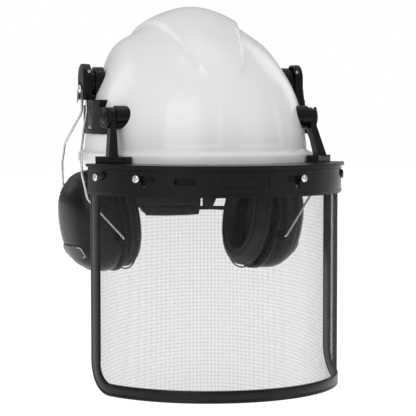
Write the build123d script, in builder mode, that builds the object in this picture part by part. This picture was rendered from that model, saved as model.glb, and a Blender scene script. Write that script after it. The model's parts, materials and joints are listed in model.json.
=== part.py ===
from build123d import *
import os
from math import cos, pi, radians, sin

# Forestry helmet: hard shell, hinged mesh visor on a brow guard, and two ear cups on spring wires.
# Millimetres. +Z up, the wearer faces -Y, and the wearer's left is +X.
# Origin: centre of the head opening, in the plane of the shell's lower rim.

# ---- driving dimensions -------------------------------------------------------------------
# Shell. Each level of the dome: height, half width, half length, and how far back its centre sits.
WALL = 2.6
SHELL_LEVELS = [
    (14, 109.2, 130.2, 0), (30, 107.8, 128.4, 0.5), (46, 105.4, 125.5, 2), (62, 101.6, 121, 4.5),
    (80, 95, 113.5, 8), (98, 85, 102, 13), (113, 73.5, 88.5, 17), (125, 61, 74, 20),
    (135, 48, 59, 21), (143, 34.5, 43, 20.5), (149, 20, 26, 20), (152, 9, 12, 20),
]
CROWN_Z = SHELL_LEVELS[-1][0]
RIM_SIZE, RIM_FLARE_Z = (115.5, 136.5), 8.0
PEAK_REACH, PEAK_WALL, PEAK_END_Y = 11.0, 2.4, -62.0
CREST_RISE = 3.2
CREST_PLAN = [(22, -92), (42, 0), (52, 70), (46, 122)]
CREST_LOW_Z = 70.0
ANCHOR_X, ANCHOR_Y, ANCHOR_Z, ANCHOR_HOLE_R, ANCHOR_BOSS_R = 36.0, (126.0, 137.0), 5.5, 2.5, 5.0

# Brow guard: a flat flange round the front of the rim, with a band hanging from it.
GUARD_CENTRE_Y = -52.0
FLANGE_R, FLANGE_Z, RIM_GAP = 131.0, (0.6, 3.4), 1.3
BAND_R, BAND_WALL, BAND_BOTTOM = 128.2, 2.2, -25.5
GUARD_END = [(106, -61), (150, -103)]
SCREW_ANGLES = (-70.5, -46.5, 27.4, 70.5)
SCREW_Z, SCREW_HEAD_R, SCREW_R = -9.0, 3.6, 1.5
TEE_SLOT, TEE_NOTCH = (17.0, 5.5), (5.5, 9.0)
GRIP_SLOT_ANGLE, GRIP_SLOT = -25.0, (21.0, 6.5)
LABEL_SIZE, LABEL_DEPTH = (45.0, 12.0), 0.7

# Visor sheet and the trim folded over its edges, by angle about the guard's centre.
MESH_R, MESH_WALL = 124.3, 0.8
TRIM_R = (123.5, 125.9)
VISOR_ANGLES = (-77.5, 97.0)
VISOR_BOTTOM, VISOR_TOP = -212.0, -1.0
SIDE_TRIM, BOTTOM_TRIM, CORNER_R = 16.0, 11.5, 32.0
CLAMP_R, CLAMP_Z = (121.8, 123.45), (-15.0, -3.0)

# Visor pivots and arms, given for the wearer's left and mirrored.
PIVOT_Y, PIVOT_Z, PIN_R, PIN_CLEARANCE = -63.0, 46.0, 3.0, 0.05
BOSS_R, BOSS_X = 11.5, 95.7
ARM_HEAD_R, ARM_X = 9.8, (96.2, 100.8)
ARM_TOP, ARM_BOTTOM = (4.6, 15.0), (9.0, 15.0)
FOOT_PLACE, FOOT_SIZE, FOOT_TURN = (101.5, -84.0), (12.0, 36.0, 6.4), -40.0
CAP_TILT = 20.0

# Ear cup carriers, arms and wires, given for the wearer's left and mirrored.
CARRIER_Z, CARRIER_Y, CARRIER_FRONT_Y = (30.0, 63.0), (-52.2, 34.0), -34.0
EAR_DISC_X = 91.5
EAR_Y, EAR_Z, BASE_R, BASE_X = 13.0, 80.0, 12.5, (101.0, 104.2)
TURN_PIN_R = 4.0
HOUSING_Y, HOUSING_Z, HOUSING_X = (-2.0, 28.0), (63.0, 98.5), (104.9, 113.0)
HOUSING_WALL = 2.0
SWING_X, SWING_Z, SWING_PIN_R = 107.2, 91.0, 1.6
LUG_WALL, LUG_GAP, LUG_R = 3.0, 7.0, 3.0
EAR_SCREW_Z, EAR_SCREW_R = 74.0, 4.2
WIRE_R, WIRE_TOP, BORE_TOP = 1.2, 81.0, 89.8
FRONT_WIRE = [(109.2, 3.5, WIRE_TOP), (109.2, 3.5, 50), (114.5, -8, 34), (119.6, -21, 13),
              (119.8, -25, -9), (114, -23, -33)]
REAR_WIRE = [(110.2, 22.5, WIRE_TOP), (110.2, 22.5, 51), (115, 38, 37), (120, 62, 19),
             (120.6, 75, -1), (117, 90, -24)]
WIRE_BEND_R = 11.0

# Ear cups, in their own frame: x outwards, y along, z up, origin at the seam's centre.
CUP_LEVELS = [(0, 43, 51.5), (14, 43, 51.5), (26, 40, 48), (35, 33.5, 41), (41, 24, 31), (44, 12, 16)]
CUP_WALL = 2.4
SEAM_RIM, CUSHION_WALL = (45.0, 53.5), 20.0
CUSHION_OPENING = (20.0, 29.0)
SOCKET_X, SOCKET_Z, SOCKET_R, SOCKET_Y = 7.5, -16.0, 3.8, (43.5, 47.5)
# Each cup: seam centre, turn about the vertical, and how far its foot leans in.
CUP_PLACES = {"right": ((-84, 34, -56), 14, 9), "left": ((76, 36, -57), 12, 9)}

# Harness.
HEADBAND, HEADBAND_WALL, HEADBAND_Z = (78.0, 97.0), 1.8, (10.0, 34.0)
SWEATBAND_WALL, SWEATBAND_END_Y = 3.0, -18.0
NAPE_Z, NAPE_ARM_LOW, NAPE_ARM_Y = -42.0, -49.0, (66.0, 84.0, 88.5)
NAPE_PAD_R, NAPE_PAD_CENTRE_Y, NAPE_PAD_SIZE = (76.5, 81.2), 20.0, (64.0, 34.0)
PINION_TEETH, MODULE = 12, 1.0
PITCH_R = PINION_TEETH * MODULE / 2
ADDENDUM, DEDENDUM, TOOTH_HALF_WIDTHS = 1.0, 1.25, (0.85, 0.3)
STRAP_Y, STRAP_BACK_Z, STRAP_START_X = (103.0, 105.2), 5.0, -16.0
STRAP_BEND, STRAP_END = (45.0, 104.1), (57.5, 92.5)
RATCHET_SIZE, RATCHET_PLATE_Y, RATCHET_Y = (62.0, 30.0), (101.2, 102.6), (102.6, 115.0)
POCKET_DEPTH, POCKET_HALF_HEIGHT = 3.1, 11.6
AXLE_R, KNOB_R, KNOB_Y, KNOB_FLUTES = 2.5, 15.0, (116.0, 127.0), 20
CROWN_STRAP, STRAP_BASE_Z, STRAP_WIDTH, WEBBING = (88.0, 106.0, 95.0), 16.0, 20.0, 1.2
CROWN_PAD_R, CROWN_PAD_Z = 27.0, (101.0, 105.0)
HOOK_SIZE, HOOK_Z = 16.0, (8.0, 26.0)

SIDES = {"left": 1, "right": -1}
os.makedirs("parts", exist_ok=True)


def save(part, name):
    part.label = name
    export_step(part, f"parts/{name}.step")


def save_pair(part, name):
    save(part, f"{name}_left")
    save(mirror(part, about=Plane.YZ), f"{name}_right")


def side_axis(x, y, z):
    """Plane facing away from the head's left side, at a point."""
    return Plane(origin=(x, y, z), x_dir=(0, 1, 0), z_dir=(1, 0, 0))


def guard_point(angle, radius, z):
    """Point on a circle about the guard's centre. Angle 0 is the front, positive to the left."""
    return (radius * sin(radians(angle)), GUARD_CENTRE_Y - radius * cos(radians(angle)), z)


def guard_plane(angle, radius, z):
    """Plane tangent to that circle, facing outwards, its x to the wearer's left."""
    turn = radians(angle)
    return Plane(origin=guard_point(angle, radius, z), x_dir=(cos(turn), sin(turn), 0),
                 z_dir=(sin(turn), -cos(turn), 0))


# ---- shell --------------------------------------------------------------------------------
def dome(offset):
    """Solid bounded by the shell's surface moved outwards by offset."""
    with BuildPart() as body:
        for z, half_width, half_length, back in SHELL_LEVELS:
            with BuildSketch(Plane.XY.offset(z + offset * z / CROWN_Z)):
                side = 0.6 + 0.4 * min(1.0, (CROWN_Z - z) / 60)
                with Locations((0, back)):
                    Ellipse(half_width + offset * side, half_length + offset * side)
        loft()
    return body.part


def rim(offset, bottom):
    """Skirt that flares from the dome down to the rim."""
    top, half_width, half_length, _ = SHELL_LEVELS[0]
    with BuildPart() as body:
        with BuildSketch(Plane.XY.offset(top + offset * top / CROWN_Z)):
            Ellipse(half_width + offset, half_length + offset)
        with BuildSketch(Plane.XY.offset(RIM_FLARE_Z)) as edge:
            Ellipse(RIM_SIZE[0] + offset, RIM_SIZE[1] + offset)
        loft()
        extrude(edge.sketch, amount=bottom - RIM_FLARE_Z)
    return body.part


dome_outer, dome_inner = dome(0), dome(-WALL)

with BuildPart() as crest:
    add(dome(CREST_RISE))
    with BuildSketch(Plane.XY.offset(CREST_LOW_Z)):
        with BuildLine():
            left_edge = Spline(*CREST_PLAN)
            right_edge = Spline(*[(-x, y) for x, y in CREST_PLAN])
            Line(left_edge @ 0, right_edge @ 0)
            Line(left_edge @ 1, right_edge @ 1)
        make_face()
    extrude(amount=CROWN_Z, mode=Mode.INTERSECT)

with BuildPart() as peak:
    with BuildSketch(Plane.XY):
        with Locations((0, -PEAK_REACH)):
            Ellipse(RIM_SIZE[0] - 6, RIM_SIZE[1])
        with Locations((0, PEAK_END_Y - 100)):
            Rectangle(300, 200, mode=Mode.INTERSECT)
    extrude(amount=-PEAK_WALL)
    add(rim(-WALL, -PEAK_WALL), mode=Mode.SUBTRACT)

with BuildPart() as anchor_bosses:
    for x in (-ANCHOR_X, ANCHOR_X):
        with Locations(Location((x, ANCHOR_Y[1], ANCHOR_Z), (90, 0, 0))):
            Cylinder(ANCHOR_BOSS_R, ANCHOR_Y[1] - ANCHOR_Y[0], align=(Align.CENTER, Align.CENTER, Align.MIN))
    add(rim(-WALL, -PEAK_WALL), mode=Mode.SUBTRACT)

with BuildPart() as shell:
    add(dome_outer)
    add(rim(0, 0))
    add(crest)
    add(dome_inner, mode=Mode.SUBTRACT)
    add(rim(-WALL, -PEAK_WALL), mode=Mode.SUBTRACT)
    add(peak)
    add(anchor_bosses)
    with BuildSketch(Plane.XZ.offset(-ANCHOR_Y[0] - 20)):
        with Locations((-ANCHOR_X, ANCHOR_Z), (ANCHOR_X, ANCHOR_Z)):
            Circle(ANCHOR_HOLE_R)
    extrude(amount=40, mode=Mode.SUBTRACT)


# ---- brow guard ---------------------------------------------------------------------------
def guard_region(height):
    """Block covering the front of the helmet, cut off slanting at the guard's two ends."""
    with BuildPart() as block:
        with BuildSketch(Plane.XY.offset(-height)):
            with BuildLine():
                (in_x, in_y), (out_x, out_y) = GUARD_END
                Polyline((-in_x, in_y), (-out_x, out_y), (-out_x, -250), (out_x, -250),
                         (out_x, out_y), (in_x, in_y), close=True)
            make_face()
        extrude(amount=2 * height)
    return block.part


with BuildPart() as label_block:
    with BuildSketch(guard_plane(0, BAND_R - 6, SCREW_Z - 2)):
        Rectangle(*LABEL_SIZE)
    extrude(amount=12)
    with BuildSketch(Plane.XY.offset(-60)):
        with Locations((0, GUARD_CENTRE_Y)):
            Circle(BAND_R - LABEL_DEPTH)
    extrude(amount=80, mode=Mode.SUBTRACT)

with BuildPart() as brow_guard:
    with BuildSketch(Plane.XY.offset(FLANGE_Z[0])):
        with Locations((0, GUARD_CENTRE_Y)):
            Circle(FLANGE_R)
        Ellipse(RIM_SIZE[0] + RIM_GAP, RIM_SIZE[1] + RIM_GAP, mode=Mode.SUBTRACT)
    extrude(amount=FLANGE_Z[1] - FLANGE_Z[0])
    with BuildSketch(Plane.XY.offset(FLANGE_Z[0])):
        with Locations((0, GUARD_CENTRE_Y)):
            Circle(BAND_R)
            Circle(BAND_R - BAND_WALL, mode=Mode.SUBTRACT)
    extrude(amount=BAND_BOTTOM - FLANGE_Z[0])
    add(guard_region(60), mode=Mode.INTERSECT)
    for angle in SCREW_ANGLES:
        with BuildSketch(guard_plane(angle, BAND_R - 6, SCREW_Z)):
            Circle(SCREW_R + 0.1)
        extrude(amount=12, mode=Mode.SUBTRACT)
    for angle, side in zip(SCREW_ANGLES[1:3], (1, -1)):
        with BuildSketch(guard_plane(angle, BAND_R - 6, SCREW_Z)):
            with Locations((side * (TEE_SLOT[0] / 2 + SCREW_R + 1.5), 0)):
                SlotOverall(*TEE_SLOT)
            with Locations((side * (SCREW_R + 7), -TEE_NOTCH[1] / 2)):
                Rectangle(*TEE_NOTCH)
        extrude(amount=12, mode=Mode.SUBTRACT)
    with BuildSketch(guard_plane(GRIP_SLOT_ANGLE, BAND_R - 6, SCREW_Z - 2)):
        SlotOverall(*GRIP_SLOT)
    extrude(amount=12, mode=Mode.SUBTRACT)
    add(label_block, mode=Mode.SUBTRACT)


# ---- visor --------------------------------------------------------------------------------
def visor_sheet(radii, side_inset, bottom_inset, top):
    """Part of a round sheet with its lower corners rounded, drawn in from the visor's outline."""
    turn = side_inset / MESH_R * 180 / pi
    start, end = VISOR_ANGLES[0] + turn, VISOR_ANGLES[1] - turn
    bottom, corner = VISOR_BOTTOM + bottom_inset, CORNER_R - bottom_inset
    corner_turn = corner / MESH_R * 180 / pi
    with BuildPart() as sheet:
        with BuildSketch(Plane.XY.offset(bottom)):
            with Locations((0, GUARD_CENTRE_Y)):
                Circle(radii[1])
                Circle(radii[0], mode=Mode.SUBTRACT)
            with BuildLine():
                fan = [guard_point(start + (end - start) * i / 6, 2 * radii[1], 0)[:2] for i in range(7)]
                Polyline((0, GUARD_CENTRE_Y), *fan, close=True)
            make_face(mode=Mode.INTERSECT)
        extrude(amount=top - bottom)
        for angle, side in ((start + corner_turn, -1), (end - corner_turn, 1)):
            with BuildSketch(guard_plane(angle, radii[0] - 12, bottom + corner)):
                with Locations((side * corner, -corner)):
                    Rectangle(2 * corner, 2 * corner)
                Circle(corner, mode=Mode.SUBTRACT)
            extrude(amount=24, mode=Mode.SUBTRACT)
    return sheet.part


def screw_holes(radius, angles=SCREW_ANGLES):
    """Pins the size of the visor screws' holes."""
    with BuildPart() as pins:
        for angle in angles:
            with BuildSketch(guard_plane(angle, radius - 6, SCREW_Z)):
                Circle(SCREW_R + 0.1)
            extrude(amount=12)
    return pins.part


with BuildPart() as visor_mesh:
    add(visor_sheet((MESH_R, MESH_R + MESH_WALL), 3, 3, VISOR_TOP))
    add(screw_holes(MESH_R), mode=Mode.SUBTRACT)

with BuildPart() as visor_edge_trim:
    add(visor_sheet(TRIM_R, 0, 0, VISOR_TOP))
    add(visor_sheet((TRIM_R[0] - 2, TRIM_R[1] + 2), SIDE_TRIM, BOTTOM_TRIM, VISOR_TOP + 5),
        mode=Mode.SUBTRACT)
    add(visor_sheet((MESH_R, MESH_R + MESH_WALL), 3, 3, VISOR_TOP), mode=Mode.SUBTRACT)
    add(screw_holes(MESH_R), mode=Mode.SUBTRACT)

with BuildPart() as visor_clamp_strip:
    with BuildSketch(Plane.XY.offset(CLAMP_Z[0])):
        with Locations((0, GUARD_CENTRE_Y)):
            Circle(CLAMP_R[1])
            Circle(CLAMP_R[0], mode=Mode.SUBTRACT)
        with BuildLine():
            fan = [guard_point(-74 + 148 * i / 4, 2 * BAND_R, 0)[:2] for i in range(5)]
            Polyline((0, GUARD_CENTRE_Y), *fan, close=True)
        make_face(mode=Mode.INTERSECT)
    extrude(amount=CLAMP_Z[1] - CLAMP_Z[0])
    add(screw_holes(MESH_R), mode=Mode.SUBTRACT)

with BuildPart() as visor_screws:
    for angle in SCREW_ANGLES:
        with BuildSketch(guard_plane(angle, BAND_R + 0.1, SCREW_Z)):
            Circle(SCREW_HEAD_R)
        extrude(amount=2.0, taper=18)
        with BuildSketch(guard_plane(angle, CLAMP_R[0] - 2.6, SCREW_Z)):
            Circle(SCREW_R)
        extrude(amount=BAND_R - CLAMP_R[0] + 3)

with BuildPart() as visor_nuts:
    for angle in SCREW_ANGLES:
        with BuildSketch(guard_plane(angle, CLAMP_R[0] - 2.3, SCREW_Z)):
            RegularPolygon(3.2, 6)
            Circle(SCREW_R, mode=Mode.SUBTRACT)
        extrude(amount=2.1)


# ---- visor arms and pivots ------------------------------------------------------------------
def ring_hole(x, y, z, radius, length):
    """Round pin along X, used to cut holes and to make pins."""
    with BuildPart() as pin:
        with BuildSketch(side_axis(x, y, z)):
            Circle(radius)
        extrude(amount=length)
    return pin.part


with BuildPart() as visor_arm:
    arm_x = sum(ARM_X) / 2
    with BuildSketch(side_axis(ARM_X[0], PIVOT_Y, PIVOT_Z)):
        Circle(ARM_HEAD_R)
    extrude(amount=ARM_X[1] - ARM_X[0])
    foot_top = FLANGE_Z[1] + FOOT_SIZE[2]
    with BuildSketch(Plane.XY.offset(PIVOT_Z)):
        with Locations((arm_x, PIVOT_Y - 1)):
            Rectangle(*ARM_TOP)
    with BuildSketch(Plane.XY.offset(foot_top - 1)):
        with Locations((FOOT_PLACE[0] + 1.5, FOOT_PLACE[1])):
            Rectangle(*ARM_BOTTOM)
    loft()
    with BuildSketch(Plane.XY.offset(FLANGE_Z[1])):
        with Locations(Location((*FOOT_PLACE, 0), (0, 0, FOOT_TURN))):
            RectangleRounded(FOOT_SIZE[0], FOOT_SIZE[1], 2)
    extrude(amount=FOOT_SIZE[2])
    add(ring_hole(80, PIVOT_Y, PIVOT_Z, PIN_R + PIN_CLEARANCE, 40), mode=Mode.SUBTRACT)

with BuildPart() as pivot_cap:
    cap_plane = Plane(origin=(ARM_X[1] + 2.4, PIVOT_Y - 0.6, PIVOT_Z), x_dir=(0, 1, 0),
                      z_dir=(cos(radians(CAP_TILT)), -sin(radians(CAP_TILT)), 0))
    with BuildSketch(cap_plane):
        Circle(ARM_HEAD_R + 0.3)
    extrude(amount=2.6)
    with BuildSketch(side_axis(ARM_X[1], PIVOT_Y, PIVOT_Z)):
        Circle(ARM_HEAD_R - 1.2)
    extrude(amount=4)
    with BuildSketch(side_axis(ARM_X[1] - 20, PIVOT_Y, PIVOT_Z)):
        Circle(3 * ARM_HEAD_R)
    extrude(amount=20, mode=Mode.SUBTRACT)
    add(visor_arm, mode=Mode.SUBTRACT)
    add(ring_hole(80, PIVOT_Y, PIVOT_Z, PIN_R + PIN_CLEARANCE, ARM_X[1] - 80 + 1.2), mode=Mode.SUBTRACT)

with BuildPart() as pivot_pin:
    add(ring_hole(BOSS_X - 6, PIVOT_Y, PIVOT_Z, PIN_R, ARM_X[1] - BOSS_X + 6.8))
    add(dome_outer, mode=Mode.SUBTRACT)

# ---- carriers that plug into the shell's side slots -------------------------------------------
with BuildPart() as carrier:
    for z, grow in ((CARRIER_Z[0], 2.2), (CARRIER_Z[1], 7.6)):
        level = SHELL_LEVELS[1] if z == CARRIER_Z[0] else SHELL_LEVELS[3]
        with BuildSketch(Plane.XY.offset(z)):
            with Locations((0, level[3])):
                Ellipse(level[1] + grow, level[2] + grow)
    loft()
    with BuildSketch(Plane.XY.offset(CARRIER_Z[0])):
        with Locations((100, sum(CARRIER_Y) / 2)):
            Rectangle(60, CARRIER_Y[1] - CARRIER_Y[0])
    extrude(amount=CARRIER_Z[1] - CARRIER_Z[0], mode=Mode.INTERSECT)
    with Locations((100, CARRIER_FRONT_Y - 20, PIVOT_Z + BOSS_R - 1.5 + 10)):
        Box(60, 40, 20, mode=Mode.SUBTRACT)
    add(ring_hole(60, PIVOT_Y, PIVOT_Z, BOSS_R, BOSS_X - 60))
    add(ring_hole(EAR_DISC_X, EAR_Y, EAR_Z, BASE_R + 3, BASE_X[0] - 0.3 - EAR_DISC_X))
    with BuildSketch(Plane.XY.offset(CARRIER_Z[1] - 6)):
        with Locations((BASE_X[1] - 4, EAR_Y)):
            Rectangle(8, 2 * BASE_R)
    extrude(amount=EAR_Z - BASE_R - 0.6 - CARRIER_Z[1] + 6)
    with Locations((112, -6, 41)):
        Box(7, 14, 12, mode=Mode.SUBTRACT)
    with Locations((HOUSING_X[0] + 8, EAR_Y - 3, CARRIER_Z[1])):
        Box(18, 56, 10, mode=Mode.SUBTRACT)
    with Locations((HOUSING_X[0] + 11, EAR_Y - 3, CARRIER_Z[1] - 14)):
        Box(18, 56, 28, mode=Mode.SUBTRACT)
    add(ring_hole(60, EAR_Y, EAR_Z, TURN_PIN_R, 60), mode=Mode.SUBTRACT)
    add(ring_hole(60, PIVOT_Y, PIVOT_Z, PIN_R, 60), mode=Mode.SUBTRACT)
    add(dome_outer, mode=Mode.SUBTRACT)

with BuildPart() as ear_turn_pin:
    add(ring_hole(BASE_X[0] - 8, EAR_Y, EAR_Z, TURN_PIN_R, BASE_X[1] - BASE_X[0] + 8))
    add(dome_outer, mode=Mode.SUBTRACT)

with BuildPart() as ear_base:
    with BuildSketch(side_axis(BASE_X[0], EAR_Y, EAR_Z)):
        Circle(BASE_R)
    extrude(amount=BASE_X[1] - BASE_X[0])
    for side in (-1, 1):
        with BuildSketch(Plane.XZ.offset(-EAR_Y - side * LUG_GAP / 2 - (0 if side > 0 else LUG_WALL))):
            with Locations((SWING_X, SWING_Z)):
                Circle(LUG_R)
            with Locations((SWING_X - LUG_R, SWING_Z - 5)):
                Rectangle(2 * LUG_R, 10)
        extrude(amount=-LUG_WALL)
    add(ring_hole(80, EAR_Y, EAR_Z, TURN_PIN_R + PIN_CLEARANCE, 40), mode=Mode.SUBTRACT)
    with BuildSketch(Plane.XZ.offset(-60)):
        with Locations((SWING_X, SWING_Z)):
            Circle(SWING_PIN_R)
    extrude(amount=120, mode=Mode.SUBTRACT)

with BuildPart() as swing_pin:
    with BuildSketch(Plane.XZ.offset(-HOUSING_Y[0] - HOUSING_WALL)):
        with Locations((SWING_X, SWING_Z)):
            Circle(SWING_PIN_R)
    extrude(amount=-(HOUSING_Y[1] - HOUSING_Y[0] - 2 * HOUSING_WALL) - 2 * HOUSING_WALL + 2)


# ---- ear arms and wires -----------------------------------------------------------------------
def wire_bore(x, y):
    """Cutter for the guide hole that a wire slides in."""
    with BuildPart() as cutter:
        with BuildSketch(Plane.XY.offset(HOUSING_Z[0] - 1)):
            with Locations((x, y)):
                Circle(WIRE_R + PIN_CLEARANCE)
        extrude(amount=BORE_TOP - HOUSING_Z[0] + 1)
    return cutter.part


with BuildPart() as ear_housing:
    half_width = (HOUSING_Y[1] - HOUSING_Y[0]) / 2
    with BuildSketch(side_axis(HOUSING_X[0], EAR_Y, HOUSING_Z[1] - half_width)):
        Circle(half_width)
        drop = HOUSING_Z[1] - half_width - HOUSING_Z[0]
        with Locations((0, -drop / 2)):
            Rectangle(2 * half_width, drop)
    extrude(amount=HOUSING_X[1] - HOUSING_X[0])
    fillet(ear_housing.faces().sort_by(Axis.X)[-1].edges(), 1.6)
    with Locations((HOUSING_X[0], EAR_Y, (EAR_Z + HOUSING_Z[1] - HOUSING_WALL) / 2)):
        Box(2 * (HOUSING_X[1] - HOUSING_X[0] - HOUSING_WALL - 0.4), 2 * LUG_WALL + LUG_GAP + 2,
            HOUSING_Z[1] - HOUSING_WALL - EAR_Z, mode=Mode.SUBTRACT)
    for wire in (FRONT_WIRE, REAR_WIRE):
        add(wire_bore(*wire[0][:2]), mode=Mode.SUBTRACT)
    with BuildSketch(Plane.XZ.offset(-60)):
        with Locations((SWING_X, SWING_Z)):
            Circle(SWING_PIN_R + PIN_CLEARANCE)
    extrude(amount=120, mode=Mode.SUBTRACT)
    add(ring_hole(HOUSING_X[1] - 5, EAR_Y, EAR_SCREW_Z, 1.6, 10), mode=Mode.SUBTRACT)

with BuildPart() as ear_screw:
    add(ring_hole(HOUSING_X[1], EAR_Y, EAR_SCREW_Z, EAR_SCREW_R, 1.6))
    fillet(ear_screw.faces().sort_by(Axis.X)[-1].edges(), 1.1)
    add(ring_hole(HOUSING_X[1] - 5, EAR_Y, EAR_SCREW_Z, 1.6, 5.2))
    with Locations((HOUSING_X[1] + 1.6, EAR_Y, EAR_SCREW_Z)):
        Box(1.6, 4.4, 0.9, mode=Mode.SUBTRACT)
        Box(1.6, 0.9, 4.4, mode=Mode.SUBTRACT)


def cup_frame(side_name):
    """Frame of one ear cup as it hangs: x outwards, z up along the cup."""
    origin, turn, lean = CUP_PLACES[side_name]
    side = SIDES[side_name]
    turn, lean = radians(turn), radians(lean)
    outwards = Vector(side * cos(turn), side * sin(turn), 0)
    up = Vector(0, 0, 1)
    return Plane(origin=origin, x_dir=outwards * cos(lean) - up * sin(lean),
                 z_dir=outwards * sin(lean) + up * cos(lean))


def cup_section(frame, depth):
    """Plane across the cup at a depth outwards from its seam."""
    return Plane(origin=frame.from_local_coords((depth, 0, 0)), x_dir=frame.y_dir, z_dir=frame.x_dir)


def cup_dome(frame, inset):
    with BuildPart() as body:
        for depth, half_length, half_height in CUP_LEVELS:
            shallow = depth - inset * depth / CUP_LEVELS[-1][0]
            with BuildSketch(cup_section(frame, shallow)):
                Ellipse(half_length - inset, half_height - inset)
        loft()
    return body.part


def socket_rod(frame, radius, near, far):
    """Rods along the cup's tilting axis, one at each end, from near to far off its centre."""
    with BuildPart() as rods:
        for end in (-1, 1):
            start = frame.from_local_coords((SOCKET_X, end * near, SOCKET_Z))
            with BuildSketch(Plane(origin=start, x_dir=frame.x_dir, z_dir=frame.y_dir * end)):
                Circle(radius)
            extrude(amount=far - near)
    return rods.part


def ear_wires(side_name, frame):
    side = SIDES[side_name]
    with BuildPart() as wires:
        for route, end in ((FRONT_WIRE, -side), (REAR_WIRE, side)):
            points = [(side * x, y, z) for x, y, z in route]
            points.append(tuple(frame.from_local_coords((SOCKET_X, end * (SOCKET_Y[1] + 4), SOCKET_Z))))
            points.append(tuple(frame.from_local_coords((SOCKET_X, end * (SOCKET_Y[0] - 2), SOCKET_Z))))
            bends = [WIRE_BEND_R] * (len(points) - 3) + [2.6]
            with BuildLine() as path:
                FilletPolyline(*points, radius=bends)
            with BuildSketch(Plane(origin=points[0], z_dir=(0, 0, -1))):
                Circle(WIRE_R)
            sweep(path=path.line)
    return wires.part


def ear_cup(side_name):
    """Solids of one ear cup, as it hangs."""
    frame = cup_frame(side_name)
    pieces = {}
    outer, inner = cup_dome(frame, 0), cup_dome(frame, CUP_WALL)
    with BuildPart() as cup_shell:
        add(outer)
        with BuildSketch(cup_section(frame, 0)):
            Ellipse(*SEAM_RIM)
        extrude(amount=3)
        add(inner, mode=Mode.SUBTRACT)
        add(socket_rod(frame, SOCKET_R, SOCKET_Y[0] - 4.5, SOCKET_Y[1]), mode=Mode.SUBTRACT)
    pieces["cup_shell"] = cup_shell.part
    with BuildPart() as sockets:
        add(socket_rod(frame, SOCKET_R, SOCKET_Y[0] - 4.5, SOCKET_Y[1]))
        add(socket_rod(frame, WIRE_R + PIN_CLEARANCE, SOCKET_Y[0] - 2.2, SOCKET_Y[1] + 1), mode=Mode.SUBTRACT)
    pieces["cup_sockets"] = sockets.part
    with BuildPart() as foam:
        for depth, inset in ((0, 6), (17, 7)):
            with BuildSketch(cup_section(frame, depth)):
                Ellipse(CUP_LEVELS[0][1] - inset, CUP_LEVELS[0][2] - inset)
        loft()
    pieces["cup_foam"] = foam.part
    with BuildPart() as plate:
        with BuildSketch(cup_section(frame, -2)):
            Ellipse(*SEAM_RIM)
            Ellipse(CUSHION_OPENING[0] + 6, CUSHION_OPENING[1] + 6, mode=Mode.SUBTRACT)
        extrude(amount=2)
    pieces["cup_plate"] = plate.part
    with BuildPart() as cushion:
        with BuildSketch(cup_section(frame, -2 - CUSHION_WALL)):
            Ellipse(SEAM_RIM[0] + 0.5, SEAM_RIM[1] + 0.5)
            Ellipse(*CUSHION_OPENING, mode=Mode.SUBTRACT)
        extrude(amount=CUSHION_WALL)
        fillet(cushion.edges().filter_by(GeomType.ELLIPSE), 5)
    pieces["cup_cushion"] = cushion.part
    with BuildPart() as badge:
        with BuildSketch(cup_section(frame, 20)):
            with Locations((0, -26)):
                RectangleRounded(44, 13, 3)
        extrude(amount=30)
        grown = cup_dome(frame, -0.9)
        add(grown, mode=Mode.INTERSECT)
        add(outer, mode=Mode.SUBTRACT)
    pieces["cup_badge"] = badge.part
    pieces["ear_wires"] = ear_wires(side_name, frame)
    return pieces


# ---- harness ----------------------------------------------------------------------------------
def hoop(size, wall, bottom, top):
    with BuildPart() as ring:
        with BuildSketch(Plane.XY.offset(bottom)):
            Ellipse(size[0] + wall, size[1] + wall)
            Ellipse(*size, mode=Mode.SUBTRACT)
        extrude(amount=top - bottom)
    return ring.part


with BuildPart() as headband:
    add(hoop(HEADBAND, HEADBAND_WALL, NAPE_ARM_LOW, HEADBAND_Z[1]))
    with BuildSketch(Plane.YZ.offset(-100)):
        with BuildLine():
            low, high = HEADBAND_Z
            start_y, foot_y, end_y = NAPE_ARM_Y
            Polyline((-110, low), (-110, high), (110, high), (110, low), (end_y, low),
                     (end_y, NAPE_ARM_LOW), (foot_y, NAPE_ARM_LOW), (start_y, low), close=True)
        make_face()
    extrude(amount=200, mode=Mode.INTERSECT)

with BuildPart() as sweatband:
    add(hoop((HEADBAND[0] - SWEATBAND_WALL, HEADBAND[1] - SWEATBAND_WALL), SWEATBAND_WALL,
             HEADBAND_Z[0] + 1, HEADBAND_Z[1] - 1))
    with Locations((0, SWEATBAND_END_Y - 100, 0)):
        Box(300, 200, 100, mode=Mode.INTERSECT)

with BuildPart() as nape_pad:
    with BuildSketch(Plane.XY.offset(NAPE_Z - NAPE_PAD_SIZE[1] / 2)):
        with Locations((0, NAPE_PAD_CENTRE_Y)):
            Circle(NAPE_PAD_R[1])
            Circle(NAPE_PAD_R[0], mode=Mode.SUBTRACT)
        with Locations((0, NAPE_PAD_CENTRE_Y + 80)):
            Rectangle(NAPE_PAD_SIZE[0], 80, mode=Mode.INTERSECT)
    extrude(amount=NAPE_PAD_SIZE[1])


def tooth(centre, root, tip):
    """Outline of one tooth standing on a line at height root, up to tip."""
    with BuildSketch() as outline:
        with BuildLine():
            base_half, tip_half = TOOTH_HALF_WIDTHS
            Polyline((centre - base_half, root), (centre - tip_half, tip), (centre + tip_half, tip),
                     (centre + base_half, root), close=True)
        make_face()
    return outline.sketch


def rear_plane(y):
    """Plane facing backwards: its x runs to the wearer's right, its y up."""
    return Plane(origin=(0, y, NAPE_Z), x_dir=(-1, 0, 0), z_dir=(0, 1, 0))


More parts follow.
